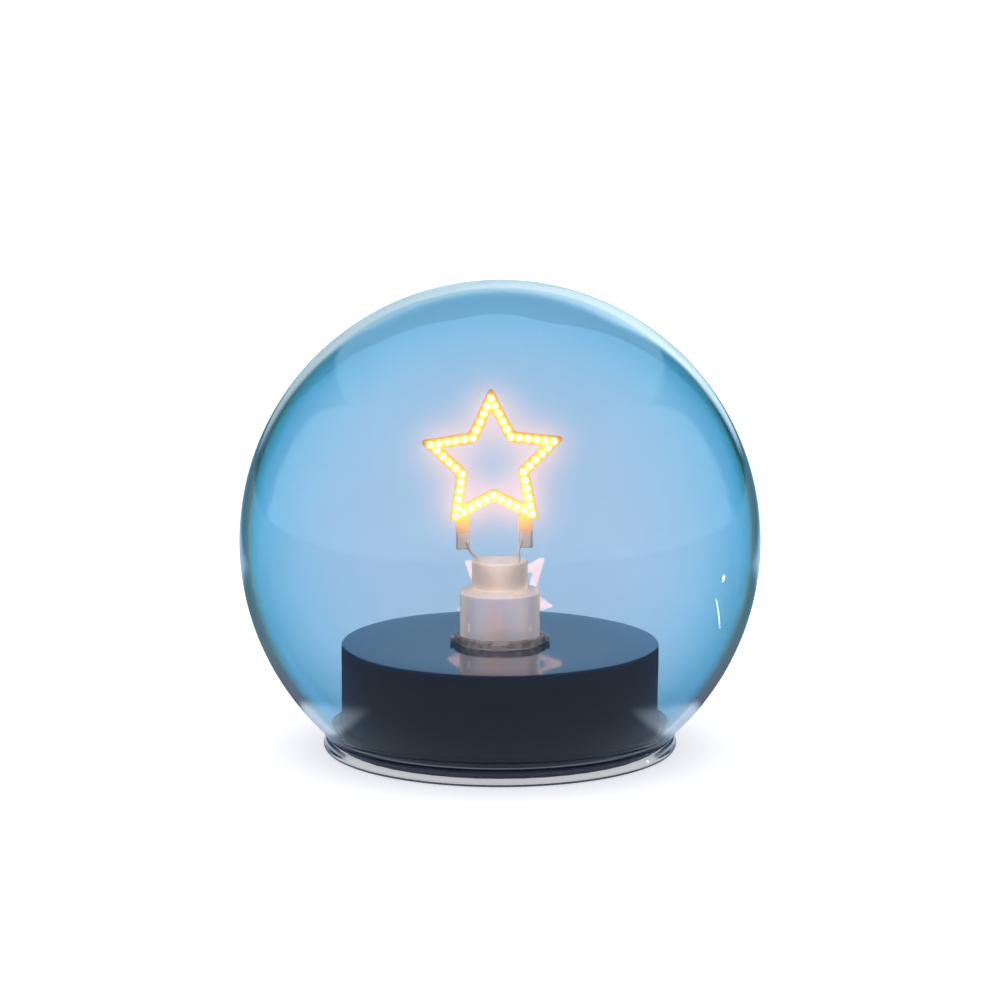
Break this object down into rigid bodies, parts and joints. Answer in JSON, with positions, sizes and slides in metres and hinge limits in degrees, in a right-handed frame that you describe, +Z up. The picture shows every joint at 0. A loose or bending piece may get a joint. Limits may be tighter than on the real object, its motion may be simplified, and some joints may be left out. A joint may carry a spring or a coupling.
{
  "type": "battery table lamp",
  "caption": "Small table lamp: a tinted clear glass globe, neck down, over a lit star-shaped board of LEDs on a frosted holder and a round battery base.",
  "frame": {"origin": "on the globe's axis, at the foot of the glass lip that the lamp stands on", "axes": "+Z up along the globe's axis; the star faces -Y, the front; +X is to the viewer's right"},
  "size_m": [0.12, 0.12, 0.1084],
  "materials": {
    "glass": "blue lacquer on the inside of clear blown glass, glossy",
    "sealant": "glossy black sealing bead",
    "base": "black moulded plastic, glossy top, satin side",
    "underside": "fine-textured black moulded plastic",
    "tray": "moulded black plastic",
    "frosted": "frosted translucent plastic, satin",
    "collar": "smoky clear plastic",
    "board": "yellow solder mask on a thin board, satin",
    "led": "warm white phosphor, lit",
    "solder": "tinned, lumpy",
    "contact": "nickel plated",
    "cell": "printed cell sleeve, glossy, unmarked",
    "screw": "zinc plated",
    "circuit": "green solder mask",
    "chip": "moulded package",
    "ceramic": "fired ceramic",
    "switch": "white moulded knob",
    "wire_red": "insulated wire",
    "wire_black": "insulated wire",
    "wire_grey": "insulated wire",
    "lead": "tinned bare wire"
  },
  "bodies": {
    "lamp": {"glass_globe": "glass", "neck_gasket": "sealant", "base_housing": "base", "base_plate": "underside", "battery_tray": "tray", "cell_left": "cell", "cell_middle": "cell", "cell_right": "cell", "contact_spring_left": "contact", "contact_spring_middle": "contact", "contact_spring_right": "contact", "contact_positive": "contact", "contact_negative": "contact", "contact_bridge_front": "contact", "contact_bridge_rear": "contact", "switch_body": "chip", "base_screw_1": "screw", "base_screw_2": "screw", "base_screw_3": "screw", "driver_board": "circuit", "timer_chip": "chip", "chip_capacitor": "ceramic", "chip_resistor": "chip", "battery_wire_red": "wire_red", "battery_wire_black": "wire_black", "switch_wire": "wire_grey", "led_wire_red": "wire_red", "led_wire_black": "wire_black", "lamp_holder": "frosted", "bulb_cap": "frosted", "holder_collar": "collar", "star_board": "board", "led_track": "led", "solder_pad_left": "solder", "solder_pad_right": "solder", "lead_wire_left": "lead", "lead_wire_right": "lead"},
    "door": {"battery_door": "underside"},
    "switch": {"switch_knob": "switch"}
  },
  "joints": [
    {"name": "door_hinge", "type": "hinge", "parent": "lamp", "child": "door", "pos_m": [0, 0.0279, 0.0023], "axis": [1, 0, 0], "range_deg": [0, 95]},
    {"name": "switch_slide", "type": "slide", "parent": "lamp", "child": "switch", "axis": [0, 1, 0], "range_m": [0, 0.004]}
  ]
}
